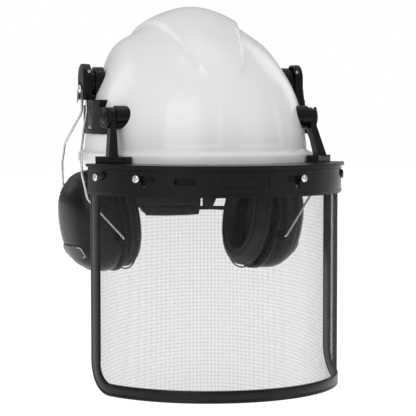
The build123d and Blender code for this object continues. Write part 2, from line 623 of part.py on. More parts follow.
# The rack teeth stand on the strap's inner edge, with a gap over the pinion's centre.
with BuildPart() as nape_strap_left:
    root = PITCH_R + DEDENDUM
    with BuildSketch(Plane.XY.offset(NAPE_Z - root - STRAP_BACK_Z + 1)):
        with BuildLine():
            FilletPolyline((STRAP_START_X, STRAP_BEND[1]), STRAP_BEND, STRAP_END, radius=12)
        trace(line_width=STRAP_Y[1] - STRAP_Y[0])
    extrude(amount=STRAP_BACK_Z - 1)
    with BuildSketch(rear_plane(STRAP_Y[0])):
        for i in range(-5, 5):
            add(tooth((i + 0.5) * pi * MODULE, -root, -(PITCH_R - ADDENDUM)))
    extrude(amount=STRAP_Y[1] - STRAP_Y[0])

nape_strap_right = nape_strap_left.part.rotate(Axis((0, 0, NAPE_Z), (0, 1, 0)), 180)

with BuildPart() as ratchet_pinion:
    with BuildSketch(rear_plane(STRAP_Y[0])):
        Circle(PITCH_R - DEDENDUM)
        for i in range(PINION_TEETH):
            add(tooth(0, PITCH_R - DEDENDUM - 0.3, PITCH_R + ADDENDUM).rotate(Axis.Z, i * 360 / PINION_TEETH))
    extrude(amount=STRAP_Y[1] - STRAP_Y[0])
    with BuildSketch(rear_plane(STRAP_Y[1])):
        Circle(AXLE_R)
    extrude(amount=KNOB_Y[1] - 4 - STRAP_Y[1])

with BuildPart() as ratchet_plate:
    with BuildSketch(rear_plane(RATCHET_PLATE_Y[0])):
        RectangleRounded(*RATCHET_SIZE, 8)
    extrude(amount=RATCHET_PLATE_Y[1] - RATCHET_PLATE_Y[0])

with BuildPart() as ratchet_housing:
    with BuildSketch(rear_plane(RATCHET_Y[0])):
        RectangleRounded(*RATCHET_SIZE, 8)
    extrude(amount=RATCHET_Y[1] - RATCHET_Y[0])
    fillet(ratchet_housing.faces().sort_by(Axis.Y)[-1].edges(), 3)
    with BuildSketch(rear_plane(RATCHET_Y[0])):
        Rectangle(RATCHET_SIZE[0] + 2, 2 * POCKET_HALF_HEIGHT)
    extrude(amount=POCKET_DEPTH, mode=Mode.SUBTRACT)
    with BuildSketch(rear_plane(RATCHET_Y[0])):
        Circle(AXLE_R + PIN_CLEARANCE)
    extrude(amount=40, mode=Mode.SUBTRACT)

with BuildPart() as ratchet_knob:
    with BuildSketch(rear_plane(KNOB_Y[0])):
        Circle(KNOB_R)
        with PolarLocations(KNOB_R + 0.8, KNOB_FLUTES):
            Circle(1.7, mode=Mode.SUBTRACT)
    extrude(amount=KNOB_Y[1] - KNOB_Y[0])
    with BuildSketch(rear_plane(KNOB_Y[0])):
        Circle(AXLE_R)
    extrude(amount=KNOB_Y[1] - KNOB_Y[0] - 4, mode=Mode.SUBTRACT)


def crown_strap(plane, half_span, rise):
    """Webbing arched over the head, between the two hooks at its ends."""
    with BuildPart() as strap:
        with BuildSketch(plane.offset(-STRAP_WIDTH / 2)):
            with Locations((0, STRAP_BASE_Z)):
                Ellipse(half_span + WEBBING, rise + WEBBING)
                Ellipse(half_span, rise, mode=Mode.SUBTRACT)
            with Locations((0, STRAP_BASE_Z + 100)):
                Rectangle(400, 200, mode=Mode.INTERSECT)
        extrude(amount=STRAP_WIDTH)
    return strap.part


crown_strap_cross = crown_strap(Plane.XZ, CROWN_STRAP[0], CROWN_STRAP[2])
crown_strap_long = crown_strap(Plane.YZ, CROWN_STRAP[1], CROWN_STRAP[2] + WEBBING + 0.8)

with BuildPart() as crown_pad:
    with BuildSketch(Plane.XY.offset(CROWN_PAD_Z[0])):
        Circle(CROWN_PAD_R)
    extrude(amount=CROWN_PAD_Z[1] - CROWN_PAD_Z[0])
    fillet(crown_pad.edges(), 1.8)

with BuildPart() as suspension_hooks:
    for x, y, width, length in ((1, 0, 60, HOOK_SIZE), (-1, 0, 60, HOOK_SIZE),
                                (0, 1, HOOK_SIZE, 60), (0, -1, HOOK_SIZE, 60)):
        reach = HEADBAND[0] + HEADBAND_WALL + 30 if x else HEADBAND[1] + HEADBAND_WALL + 30
        with Locations((x * reach, y * reach, sum(HOOK_Z) / 2)):
            Box(width, length, HOOK_Z[1] - HOOK_Z[0])
    add(dome_inner, mode=Mode.INTERSECT)
    add(hoop((1, 1), HEADBAND[1], -60, HOOK_Z[0] + 6), mode=Mode.SUBTRACT)
    add(crown_strap_cross, mode=Mode.SUBTRACT)
    add(crown_strap_long, mode=Mode.SUBTRACT)

# ---- files ------------------------------------------------------------------------------------
for name, piece in {
    "shell": shell, "brow_guard": brow_guard, "visor_mesh": visor_mesh,
    "visor_edge_trim": visor_edge_trim, "visor_clamp_strip": visor_clamp_strip,
    "visor_screws": visor_screws, "visor_nuts": visor_nuts, "headband": headband,
    "sweatband": sweatband, "nape_pad": nape_pad, "nape_strap_left": nape_strap_left,
    "ratchet_pinion": ratchet_pinion, "ratchet_plate": ratchet_plate,
    "ratchet_housing": ratchet_housing, "ratchet_knob": ratchet_knob, "crown_pad": crown_pad,
    "suspension_hooks": suspension_hooks,
}.items():
    save(piece.part, name)
for name, piece in {
    "nape_strap_right": nape_strap_right, "crown_strap_long": crown_strap_long,
    "crown_strap_cross": crown_strap_cross,
}.items():
    save(piece, name)
for name, piece in {
    "visor_arm": visor_arm, "pivot_cap": pivot_cap, "pivot_pin": pivot_pin, "carrier": carrier,
    "ear_turn_pin": ear_turn_pin, "ear_base": ear_base, "swing_pin": swing_pin,
    "ear_housing": ear_housing, "ear_screw": ear_screw,
}.items():
    save_pair(piece.part, name)
for side_name in SIDES:
    for name, piece in ear_cup(side_name).items():
        save(piece, f"{name}_{side_name}")
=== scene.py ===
import json
from math import atan2, cos, degrees, pi, radians, sin, sqrt

import bmesh
import bpy
import numpy as np
from mathutils import Matrix, Vector


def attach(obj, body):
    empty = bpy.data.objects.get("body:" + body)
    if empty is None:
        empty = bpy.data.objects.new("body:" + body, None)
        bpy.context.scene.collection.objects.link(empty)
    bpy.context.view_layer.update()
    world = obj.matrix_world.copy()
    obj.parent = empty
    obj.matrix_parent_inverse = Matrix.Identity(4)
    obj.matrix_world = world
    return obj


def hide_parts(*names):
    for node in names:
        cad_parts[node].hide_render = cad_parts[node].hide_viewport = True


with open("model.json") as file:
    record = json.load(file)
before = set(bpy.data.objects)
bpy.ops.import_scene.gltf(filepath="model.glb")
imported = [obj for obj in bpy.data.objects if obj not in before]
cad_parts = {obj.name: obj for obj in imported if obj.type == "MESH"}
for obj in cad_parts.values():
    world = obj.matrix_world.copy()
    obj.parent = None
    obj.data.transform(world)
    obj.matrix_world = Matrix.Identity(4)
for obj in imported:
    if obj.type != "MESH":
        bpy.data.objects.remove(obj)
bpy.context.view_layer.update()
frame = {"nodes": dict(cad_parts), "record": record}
MM = 0.001
SIDES = {"left": 1, "right": -1}


# ---- materials ----------------------------------------------------------------------------
def node_material(name, colour, rough, spread=0.15, metallic=0.0, coat=0.0, ior=1.46,
                  grain=(900, 0.15), pattern="noise", edge=0.0, sheen=0.0, hazy=120):
    """Material whose colour, roughness and relief all vary over the surface.

    rough is the range of roughness, grain the scale and strength of the fine relief, hazy the scale of
    the slow changes of colour, and edge the radius in metres to which sharp edges are softened.
    """
    mat = bpy.data.materials.new(name)
    mat.use_nodes = True
    tree = mat.node_tree
    nodes, links = tree.nodes, tree.links
    shader = nodes["Principled BSDF"]
    shader.inputs["Metallic"].default_value = metallic
    shader.inputs["Coat Weight"].default_value = coat
    shader.inputs["Coat Roughness"].default_value = 0.12
    shader.inputs["IOR"].default_value = ior
    shader.inputs["Sheen Weight"].default_value = sheen
    shader.inputs["Sheen Roughness"].default_value = 0.5
    where = nodes.new("ShaderNodeTexCoord")

    def noise(scale, detail=3):
        tex = nodes.new("ShaderNodeTexNoise")
        tex.inputs["Scale"].default_value = scale
        tex.inputs["Detail"].default_value = detail
        links.new(where.outputs["Object"], tex.inputs["Vector"])
        return tex.outputs["Fac"]

    low = tuple(c * (1 - spread) for c in colour)
    high = tuple(min(1.0, c * (1 + spread)) for c in colour)
    ramp = nodes.new("ShaderNodeValToRGB")
    for element, at, value in zip(ramp.color_ramp.elements, (0.35, 0.65), (low, high)):
        element.position = at
        element.color = (*value, 1)
    links.new(noise(hazy), ramp.inputs["Fac"])
    links.new(ramp.outputs["Color"], shader.inputs["Base Color"])
    wear = nodes.new("ShaderNodeMapRange")
    wear.inputs["To Min"].default_value = rough[0]
    wear.inputs["To Max"].default_value = rough[1]
    links.new(noise(hazy * 2.3), wear.inputs["Value"])
    links.new(wear.outputs["Result"], shader.inputs["Roughness"])
    scale, strength = grain
    if pattern == "noise":
        relief = noise(scale, 2)
    elif pattern == "cells":
        cells = nodes.new("ShaderNodeTexVoronoi")
        cells.inputs["Scale"].default_value = scale
        links.new(where.outputs["Object"], cells.inputs["Vector"])
        relief = cells.outputs["Distance"]
    else:
        waves = []
        for direction in ("X", "Z"):
            wave = nodes.new("ShaderNodeTexWave")
            wave.bands_direction = direction
            wave.inputs["Scale"].default_value = scale
            wave.inputs["Distortion"].default_value = 0.4
            wave.inputs["Detail"].default_value = 1
            links.new(where.outputs["Object"], wave.inputs["Vector"])
            waves.append(wave.outputs["Fac"])
        mix = nodes.new("ShaderNodeMath")
        mix.operation = "MAXIMUM"
        links.new(waves[0], mix.inputs[0])
        links.new(waves[1], mix.inputs[1])
        relief = mix.outputs["Value"]
    bump = nodes.new("ShaderNodeBump")
    bump.inputs["Strength"].default_value = strength
    bump.inputs["Distance"].default_value = 0.0004
    links.new(relief, bump.inputs["Height"])
    if edge:
        bevel = nodes.new("ShaderNodeBevel")
        bevel.samples = 4
        bevel.inputs["Radius"].default_value = edge
        links.new(bevel.outputs["Normal"], bump.inputs["Normal"])
    links.new(bump.outputs["Normal"], shader.inputs["Normal"])
    return mat


white = node_material("shell_white", (0.84, 0.845, 0.855), (0.25, 0.26), 0.002, coat=0.25,
                      grain=(1200, 0.02), hazy=9)
black = node_material("black_plastic", (0.003, 0.0032, 0.004), (0.22, 0.30), 0.25, ior=1.30,
                      grain=(1500, 0.10), edge=0.0005, hazy=90)
satin = node_material("trim_black", (0.004, 0.0042, 0.0052), (0.26, 0.38), 0.25, ior=1.34,
                      grain=(1400, 0.08), hazy=140)
textured = node_material("grained_black", (0.009, 0.0093, 0.011), (0.42, 0.55), 0.3, pattern="cells",
                         grain=(1500, 0.55), hazy=160)
charcoal = node_material("cup_charcoal", (0.0045, 0.0047, 0.006), (0.24, 0.31), 0.18, ior=1.32,
                         grain=(1700, 0.22), hazy=70)
badge_grey = node_material("badge_grey", (0.03, 0.0305, 0.033), (0.22, 0.3), 0.12,
                           grain=(1200, 0.05), hazy=150)
badge_line = node_material("badge_line", (0.55, 0.55, 0.56), (0.4, 0.5), 0.05,
                           grain=(1200, 0.05), hazy=150)
steel = node_material("bright_steel", (0.72, 0.72, 0.73), (0.12, 0.24), 0.08, metallic=1.0,
                      grain=(1800, 0.08), edge=0.0002, hazy=300)
wire_steel = node_material("wire_steel", (0.60, 0.60, 0.61), (0.2, 0.32), 0.1, metallic=1.0,
                           grain=(2200, 0.1), hazy=260)
net_black = node_material("net_black", (0.012, 0.012, 0.014), (0.45, 0.6), 0.2, grain=(2500, 0.1), hazy=400)
vinyl = node_material("cushion_vinyl", (0.006, 0.0062, 0.0072), (0.42, 0.54), 0.2, pattern="cells",
                      grain=(900, 0.35), hazy=60)
foam = node_material("foam_dark", (0.035, 0.035, 0.037), (0.85, 0.95), 0.35, pattern="cells",
                     grain=(700, 1.0), hazy=500)
harness_plastic = node_material("harness_plastic", (0.028, 0.0285, 0.031), (0.4, 0.5), 0.18,
                                grain=(1500, 0.12), edge=0.0004, hazy=80)
webbing = node_material("webbing", (0.035, 0.0355, 0.04), (0.75, 0.9), 0.3, pattern="weave",
                        grain=(420, 0.9), sheen=0.3, hazy=300)
terry = node_material("sweatband_soft", (0.03, 0.0305, 0.034), (0.8, 0.95), 0.35, grain=(1100, 0.8),
                      sheen=0.4, hazy=350)
SLOT_MATERIALS = {
    "shell_white": white, "black_plastic": black, "trim_black": satin, "visor_net": net_black,
    "steel": steel, "wire_steel": wire_steel, "cup_charcoal": charcoal, "badge_grey": badge_grey,
    "foam_dark": foam, "cushion_vinyl": vinyl, "harness_plastic": harness_plastic,
    "webbing": webbing, "sweatband_soft": terry,
}
for part in frame["record"]["subparts"]:
    node = frame["nodes"][part["node"]]
    node.data.materials.clear()
    node.data.materials.append(SLOT_MATERIALS[part["material_slot"]])


# ---- mesh making --------------------------------------------------------------------------
def mesh_piece(name, verts, faces, mat, body, slot, replaces=(), smooth=True, crease=40):
    """New piece from points in millimetres. It rides on a body."""
    mesh = bpy.data.meshes.new(name)
    mesh.from_pydata([tuple(c * MM for c in v) for v in verts], [], faces)
    mesh.validate()
    bm = bmesh.new()
    bm.from_mesh(mesh)
    bmesh.ops.remove_doubles(bm, verts=bm.verts, dist=1e-7)
    bmesh.ops.recalc_face_normals(bm, faces=bm.faces)
    bm.to_mesh(mesh)
    bm.free()
    mesh.polygons.foreach_set("use_smooth", [smooth] * len(mesh.polygons))
    if smooth and crease:
        mesh.set_sharp_from_angle(angle=radians(crease))
    piece = bpy.data.objects.new(name, mesh)
    bpy.context.scene.collection.objects.link(piece)
    mesh.materials.append(mat)
    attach(piece, body)
    if replaces:
        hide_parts(*replaces)
    return piece


def quads(rows, around=False, along=False, start=0):
    """Faces of a grid of points stored row by row."""
    count, width = len(rows), len(rows[0])
    faces = []
    for i in range(count if along else count - 1):
        for j in range(width if around else width - 1):
            a, b = start + i * width, start + (i + 1) % count * width
            faces.append((a + j, a + (j + 1) % width, b + (j + 1) % width, b + j))
    return faces


def loft(name, rows, mat, body, slot, around=True, along=False, caps=True, **options):
    """Skin over rows of points, closed round each row, with a fan over each end."""
    verts = [p for row in rows for p in row]
    faces = quads(rows, around, along)
    if caps and not along:
        for row, first in ((rows[0], 0), (rows[-1], (len(rows) - 1) * len(rows[0]))):
            centre = tuple(sum(p[i] for p in row) / len(row) for i in range(3))
            verts.append(centre)
            hub = len(verts) - 1
            faces += [(first + j, first + (j + 1) % len(row), hub) for j in range(len(row))]
    return mesh_piece(name, verts, faces, mat, body, slot, **options)


def offset_outline(points, distance):
    """Closed outline moved inwards by distance, point by point."""
    moved = []
    for i, point in enumerate(points):
        before, after = points[i - 1], points[(i + 1) % len(points)]
        dx, dy = after[0] - before[0], after[1] - before[1]
        length = sqrt(dx * dx + dy * dy) or 1.0
        moved.append((point[0] - dy / length * distance, point[1] + dx / length * distance))
    return moved


def stack(name, outline, levels, place, mat, body, slot, **options):
    """Outline (anticlockwise) drawn at (inset, height) levels. place turns (u, v, h) into a point."""
    rows = [[place(u, v, height) for u, v in offset_outline(outline, inset)] for inset, height in levels]
    return loft(name, rows, mat, body, slot, **options)


def plane_place(origin, u_dir, v_dir):
    """Place on a flat face: u and v along it, h outwards."""
    u_dir, v_dir, origin = Vector(u_dir).normalized(), Vector(v_dir).normalized(), Vector(origin)
    out = u_dir.cross(v_dir)
    return lambda u, v, h: tuple(origin + u_dir * u + v_dir * v + out * h)


def circle(radius, count):
    return [(radius * cos(2 * pi * i / count), radius * sin(2 * pi * i / count)) for i in range(count)]


def rounded_box(width, height, radius, steps=6):
    points = []
    for cx, cy, start in ((1, -1, -90), (1, 1, 0), (-1, 1, 90), (-1, -1, 180)):
        for i in range(steps + 1):
            turn = radians(start + 90 * i / steps)
            points.append((cx * (width / 2 - radius) + radius * cos(turn),
                           cy * (height / 2 - radius) + radius * sin(turn)))
    return points


def tube(name, path, radius, mat, body, slot, sides=12, **options):
    """Round rod along a path of points, with its frame carried along."""
    path = [Vector(p) for p in path]
    rows, lead = [], None
    for i, point in enumerate(path):
        ahead = (path[min(i + 1, len(path) - 1)] - path[max(i - 1, 0)]).normalized()
        if lead is None:
            lead = ahead.orthogonal().normalized()
        lead = (lead - ahead * lead.dot(ahead)).normalized()
        other = ahead.cross(lead)
        turns = [2 * pi * j / sides for j in range(sides)]
        rows.append([tuple(point + (lead * cos(t) + other * sin(t)) * radius) for t in turns])
    return loft(name, rows, mat, body, slot, **options)


def smooth_path(points, per):
    """Points along a curve that passes through every given point, per to a span."""
    points = [np.array(p, float) for p in points]
    ends = [2 * points[0] - points[1]] + points + [2 * points[-1] - points[-2]]
    out = []
    for a, b, c, d in zip(ends, ends[1:], ends[2:], ends[3:]):
        for i in range(per):
            t = i / per
            out.append(0.5 * (2 * b + (c - a) * t + (2 * a - 5 * b + 4 * c - d) * t * t
                              + (3 * b - a - 3 * c + d) * t ** 3))
    out.append(points[-1])
    return [tuple(p) for p in out]


def step(value, low, high):
    """0 below low, 1 above high, smooth between."""
    t = min(1.0, max(0.0, (value - low) / (high - low)))
    return t * t * (3 - 2 * t)


# ---- shell --------------------------------------------------------------------------------
# Height, half width, half length and how far back the section's middle lies.
SHELL_LEVELS = [
    (14.8, 109.2, 130.2, 0), (30, 107.8, 128.4, 0.5), (46, 105.4, 125.5, 2), (62, 101.6, 121, 4.5),
    (80, 95, 113.5, 8), (98, 85, 102, 13), (113, 73.5, 88.5, 17), (125, 61, 74, 20),
    (135, 48, 59, 21), (143, 34.5, 43, 20.5), (149, 20, 26, 20), (151.6, 9, 12, 20), (152.2, 0.5, 0.7, 20),
]
RIM_PROFILE = [(0, 114.0, 135.0), (0.4, 114.9, 135.9), (1.2, 115.4, 136.4), (4, 115.5, 136.5),
               (9.5, 115.4, 136.3), (11.2, 114.8, 135.7), (12.2, 113.4, 134.4), (13.0, 111.4, 132.4),
               (13.9, 109.9, 130.9)]
SHELL_WALL = 2.6
OUTER_COUNT, INNER_COUNT = 288, 96
# Half width of the raised crest at distances from front (negative) to back.
CREST_WIDTH = ([-98, -92, -45, 0, 35, 70, 110, 130], [16, 22, 33, 42, 47, 52, 49, 45])


def relief(x, y, z):
    """Height of the moulded relief over the plain dome."""
    half = float(np.interp(y, *CREST_WIDTH))
    across = step(half - abs(x), -2.2, 2.4)
    front = step(z, 80, 96) if y < -20 else step(z, 40, 74)
    height = 4.2 * across * front
    shoulder_x = 70 - 0.12 * max(0.0, y - 40)
    height += 5.0 * step(y, -55, 60) * np.exp(-((abs(x) - shoulder_x) / 12.0) ** 2) * step(z, 62, 100)
    turn = abs(degrees(atan2(x, -y))) if y < 0 else 180
    panel = step(turn, 3.4, 5.0) * step(-turn, -27.5, -25.0) * step(z, 18.5, 22.0) * step(-z, -74, -44)
    return height - 1.2 * panel


def shell_surface():
    """Grid of points over the rim and dome, and the outward normals of the plain dome."""
    turns = [2 * pi * i / OUTER_COUNT for i in range(OUTER_COUNT)]
    levels = [(z, a, b, 0) for z, a, b in RIM_PROFILE] + smooth_path(SHELL_LEVELS, 9)
    grid = np.array([[(a * sin(t), back - b * cos(t), z) for t in turns] for z, a, b, back in levels])
    across = np.roll(grid, -1, axis=1) - np.roll(grid, 1, axis=1)
    up = np.gradient(grid, axis=0)
    normal = np.cross(across, up)
    normal /= np.linalg.norm(normal, axis=2, keepdims=True) + 1e-12
    lift = np.array([[relief(*p) for p in row] for row in grid])
    return grid + normal * lift[:, :, None], normal


shell_rows, shell_normals = shell_surface()
inner_rows = (shell_rows - shell_normals * SHELL_WALL)[len(RIM_PROFILE)::4, ::3]
inner_turns = [2 * pi * i / INNER_COUNT for i in range(INNER_COUNT)]
rim_inner = [[(a * sin(t), -b * cos(t), z) for t in inner_turns]
             for z, a, b in ((0, 112.9, 133.9), (8, 112.6, 133.6), (14, 107.2, 128.2))]
outer = [tuple(p) for row in shell_rows for p in row]
faces = quads(shell_rows.tolist(), True)
inside = rim_inner + [list(map(tuple, row)) for row in inner_rows]
faces += quads(inside, True, start=len(outer))
verts = outer + [p for row in inside for p in row]
first = len(outer)
for j in range(INNER_COUNT):
    near, far = (3 * j, 3 * j + 1, 3 * j + 2), (3 * j + 3) % OUTER_COUNT
    faces.append((near[0], first + j, first + (j + 1) % INNER_COUNT, far, near[2], near[1]))
mesh_piece("shell_skin", verts, faces, white, "helmet", "shell_white", replaces=["shell"], crease=0)

peak_rows = []
for i in range(61):
    turn = radians(-60 + 120 * i / 60)
    edge = []
    for inset, z in ((0, -0.2), (0, -1.8), (0.5, -2.4), (8, -2.4), (8, 0)):
        a, b = 109.5 - inset, 136.5 - inset
        edge.append((a * sin(turn), -11 - b * cos(turn), z))
    inner = (112.9 * sin(turn), -133.9 * cos(turn))
    across = min(abs(edge[3][0]), abs(inner[0])) * (1 if turn > 0 else -1)
    edge[3] = (across, max(edge[3][1], inner[1]), -2.4)
    edge[4] = (edge[3][0], edge[3][1], 0.2)
    peak_rows.append(edge)
loft("shell_peak", peak_rows, white, "helmet", "shell_white")
for side, sign in SIDES.items():
    place = plane_place((sign * 36, 128.5, 5.5), (1, 0, 0), (0, 0, -1))
    rows = [[place(u, v, h) for u, v in circle(r, 32)]
            for r, h in ((2.5, -1), (5.0, -1), (5.0, 7.7), (4.6, 8.3), (3.0, 8.4), (2.5, 8.0))]
    loft("neck_flap_boss_" + side, rows, white, "helmet", "shell_white", along=True, caps=False)


# ---- brow guard ---------------------------------------------------------------------------
GUARD_Y, BAND_FACE_R = -52.0, 128.2


def guard_point(turn, radius, z):
    return (radius * sin(radians(turn)), GUARD_Y - radius * cos(radians(turn)), z)


def wrap(centre_turn, radius, z_centre):
    """Place that bends a flat outline round the brow band: u along, v up, h outwards."""
    return lambda u, v, h: guard_point(centre_turn + degrees(u / radius), radius + h, z_centre + v)


# ---- visor net ------------------------------------------------------------------------------
NET_R, TURNS, NET_BOTTOM, CORNER = 124.7, (-77.5, 97.0), -212.0, 32.0


def outline_bottom(turn, inset):
    """Height of the visor's lower edge at an angle."""
    along = radians(min(turn - TURNS[0], TURNS[1] - turn)) * NET_R - inset
    corner = CORNER - inset
    low = NET_BOTTOM + inset
    if along >= corner:
        return low
    along = max(along, 0.0)
    return low + corner - sqrt(max(0.0, corner ** 2 - (corner - along) ** 2))


def square_thread(path, half, verts, faces):
    """Adds a thin four-sided thread along a path on the visor's cylinder."""
    start = len(verts)
    for x, y, z, ux, uy, uz in path:
        out = Vector((x, y - GUARD_Y, 0)).normalized() * half
        side = Vector((ux, uy, uz)).cross(out)
        for corner in (out, side, -out, -side):
            verts.append((x + corner[0], y + corner[1], z + corner[2]))
    for i in range(len(path) - 1):
        for j in range(4):
            a, b = start + 4 * i, start + 4 * (i + 1)
            faces.append((a + j, a + (j + 1) % 4, b + (j + 1) % 4, b + j))
    faces.append((start, start + 1, start + 2, start + 3))
    last = start + 4 * (len(path) - 1)
    faces.append((last + 3, last + 2, last + 1, last))


PITCH, THREAD = 1.25, 0.115
NET_TOP, HIDDEN = -1.2, 5
verts, faces = [], []
span = radians(TURNS[1] - TURNS[0]) * NET_R
for i in range(1, int(span / PITCH)):
    turn = TURNS[0] + degrees(i * PITCH / NET_R)
    low = outline_bottom(turn, HIDDEN)
    if low > -20 or radians(min(turn - TURNS[0], TURNS[1] - turn)) * NET_R < HIDDEN:
        continue
    x, y, _ = guard_point(turn, NET_R - 0.05, 0)
    square_thread([(x, y, z, 0, 0, 1) for z in (low, NET_TOP)], THREAD, verts, faces)
for k in range(1, int(-NET_BOTTOM / PITCH)):
    z = NET_TOP - k * PITCH
    if z < NET_BOTTOM + HIDDEN:
        continue
    corner = CORNER - HIDDEN
    below = (NET_BOTTOM + HIDDEN + corner) - z
    cut = HIDDEN + (corner - sqrt(max(0.0, corner ** 2 - below ** 2)) if below > 0 else 0.0)
    first, last = TURNS[0] + degrees(cut / NET_R), TURNS[1] - degrees(cut / NET_R)
    path = []
    for i in range(57):
        turn = first + (last - first) * i / 56
        x, y, _ = guard_point(turn, NET_R + 0.08, z)
        path.append((x, y, z, cos(radians(turn)), sin(radians(turn)), 0))
    square_thread(path, THREAD, verts, faces)
mesh_piece("visor_net", verts, faces, net_black, "visor", "visor_net", replaces=["visor_mesh"], smooth=False)


# ---- visor trim -----------------------------------------------------------------------------
def trim_path():
    """Visor outline: point along the sheet, inward direction and trim width, from top to top."""
    width = radians(TURNS[1] - TURNS[0]) * NET_R
    out = []
    straight = [-1.5 - i * (NET_BOTTOM + CORNER + 1.5) / -12 for i in range(13)]
    for z in straight:
        out.append((0, z, 1, 0, 16.0))
    for i in range(1, 13):
        turn = radians(90 * i / 12)
        out.append((CORNER - CORNER * cos(turn), NET_BOTTOM + CORNER - CORNER * sin(turn),
                    cos(turn), sin(turn), 16.0 - 4.5 * i / 12))
    for i in range(1, 64):
        out.append((CORNER + (width - 2 * CORNER) * i / 64, NET_BOTTOM, 0, 1, 11.5))
    mirrored = [(width - s, z, -ns, nz, w) for s, z, ns, nz, w in reversed(out[:25])]
    return out + mirrored


TRIM_SECTION = [(0.35, 1.05), (0.0, 0.5), (0.0, -0.5), (0.35, -1.05), (1.2, -1.2), (2.6, -1.2), (3.0, -0.95),
                (3.4, -0.95), (3.8, -1.2), (-0.6, -1.2), (0.0, -0.9), (0.0, -0.25),
                (0.0, 0.25), (0.0, 0.9), (-0.6, 1.2), (3.8, 1.2), (3.4, 0.95), (3.0, 0.95),
                (2.6, 1.25), (1.2, 1.2)]
rows = []
for s, z, ns, nz, width in trim_path():
    row = []
    for k, (w, n) in enumerate(TRIM_SECTION):
        reach = width + w if 9 <= k <= 14 else w
        row.append(guard_point(TURNS[0] + degrees((s + ns * reach) / NET_R), NET_R + n, z + nz * reach))
    rows.append(row)
loft("visor_trim", rows, satin, "visor", "trim_black", replaces=["visor_edge_trim"], crease=50)


# ---- screws -----------------------------------------------------------------------------------
def cross_screw(name, place, radius, dome, body):
    """Domed head with a cross recess cut into it."""
    verts = []
    rings = [(radius, 0.0), (radius, 0.35)] + [
        (radius * cos(t) ** 0.8, 0.35 + dome * sin(t)) for t in np.linspace(0.25, 1.35, 9)]
    count = 48
    for r, h in rings:
        for i in range(count):
            t = 2 * pi * i / count
            u, v = r * cos(t), r * sin(t)
            arm = min(abs(u), abs(v)) < radius * 0.13 and max(abs(u), abs(v)) < radius * 0.62
            verts.append(place(u, v, h - (dome * 0.75 if arm else 0.0)))
    rows = [verts[i * count:(i + 1) * count] for i in range(len(rings))]
    return loft(name, rows, steel, body, "steel", crease=35)


SCREW_TURNS, SCREW_Z = (-70.5, -46.5, 27.4, 70.5), -9.0
for i, turn in enumerate(SCREW_TURNS):
    screw = cross_screw(f"visor_screw_{i + 1}", wrap(turn, BAND_FACE_R, SCREW_Z), 3.7, 1.7, "visor")
    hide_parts("visor_screws")
    shank = [guard_point(turn, r, SCREW_Z) for r in (119.2, 122, 125, 128.4)]
    tube(f"visor_screw_shank_{i + 1}", shank, 1.45, steel, "visor", "steel", sides=20)

# Relief on the brow band: two long ribs, and the stop beside the first screw on each side.
for name, z, size in (("top", -2.6, 0.55), ("bottom", -23.2, 0.7)):
    rib = [guard_point(-76 + 152 * i / 90, BAND_FACE_R, z) for i in range(91)]
    tube(f"guard_rib_{name}", rib, size, black, "visor", "black_plastic", sides=10)
for i, (turn, lean) in enumerate(((-66.0, 24.0), (66.0, -24.0))):
    bend = wrap(turn, BAND_FACE_R, -7.6)
    ca, sa = cos(radians(lean)), sin(radians(lean))
    stack(f"guard_stop_{i + 1}", rounded_box(11, 6.4, 3.1), [(0, -0.5), (0, 1.6), (0.35, 2.1), (1.0, 2.3)],
          lambda u, v, h: bend(u * ca - v * sa, u * sa + v * ca, h), black, "visor", "black_plastic")


# ---- pivots and ear arms ----------------------------------------------------------------------
for side, sign in SIDES.items():
    tilt = radians(20)
    out = Vector((sign * cos(tilt), -sin(tilt), 0))
    across = Vector((0, 0, 1)).cross(out)
    face = plane_place(Vector((sign * 103.2, -63.6, 46)) + out * 2.6, across, (0, 0, 1))
    stack(f"pivot_cap_face_{side}", circle(9.7, 64),
          [(0.0, -0.8), (0.0, 0.15), (0.5, 0.55), (1.6, 0.6), (2.0, 0.2), (2.7, 0.2), (3.1, 0.6), (6.0, 0.95),
           (9.0, 1.05)], face, black, "visor", "black_plastic")
    arch = [(15 * cos(t), 20.5 + 15 * sin(t)) for t in np.linspace(0, pi, 33)]
    foot = [(-15, 2.2), (-14.4, 0.7), (-12.9, 0.0), (12.9, 0.0), (14.4, 0.7), (15, 2.2)]
    face = plane_place((sign * 104.9, 13, 63), (0, sign, 0), (0, 0, 1))
    stack(f"ear_housing_cover_{side}", arch + foot,
          [(-0.1, 4.3), (-0.25, 4.6), (-0.25, 5.5), (0.15, 5.7), (0.15, 6.1), (-0.2, 6.3), (-0.15, 7.4),
           (0.6, 8.2), (1.6, 8.5), (2.6, 8.5), (3.0, 8.15)], face, black, f"ear_arm_{side}", "black_plastic")
    stack(f"ear_housing_face_{side}", offset_outline(arch + foot, 2.7),
          [(0.0, 8.1), (0.3, 8.35), (4.0, 8.8), (8.0, 9.0)], face, textured, f"ear_arm_{side}",
          "black_plastic")
    face = plane_place((sign * 113.6, 13, 74), (0, sign, 0), (0, 0, 1))
    screw = cross_screw(f"ear_screw_head_{side}", face, 4.2, 1.9, f"ear_arm_{side}")
    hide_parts(f"ear_screw_{side}")


# ---- ear cups ---------------------------------------------------------------------------------
# Middle of the cup's seam, its turn about the vertical and its lean.
CUP_PLACES = {"right": ((-84, 34, -56), 14, 9), "left": ((76, 36, -57), 12, 9)}


def cup_axes(side):
    """Seam middle, and the cup's outward, lengthwise and upward directions."""
    origin, turn, lean = CUP_PLACES[side]
    turn, lean = radians(turn), radians(lean)
    outwards = Vector((SIDES[side] * cos(turn), SIDES[side] * sin(turn), 0))
    x_dir = outwards * cos(lean) - Vector((0, 0, 1)) * sin(lean)
    z_dir = outwards * sin(lean) + Vector((0, 0, 1)) * cos(lean)
    return Vector(origin), x_dir, z_dir.cross(x_dir), z_dir


def cup_place(side):
    origin, x_dir, y_dir, z_dir = cup_axes(side)
    return lambda x, y, z: tuple(origin + x_dir * x + y_dir * y + z_dir * z)


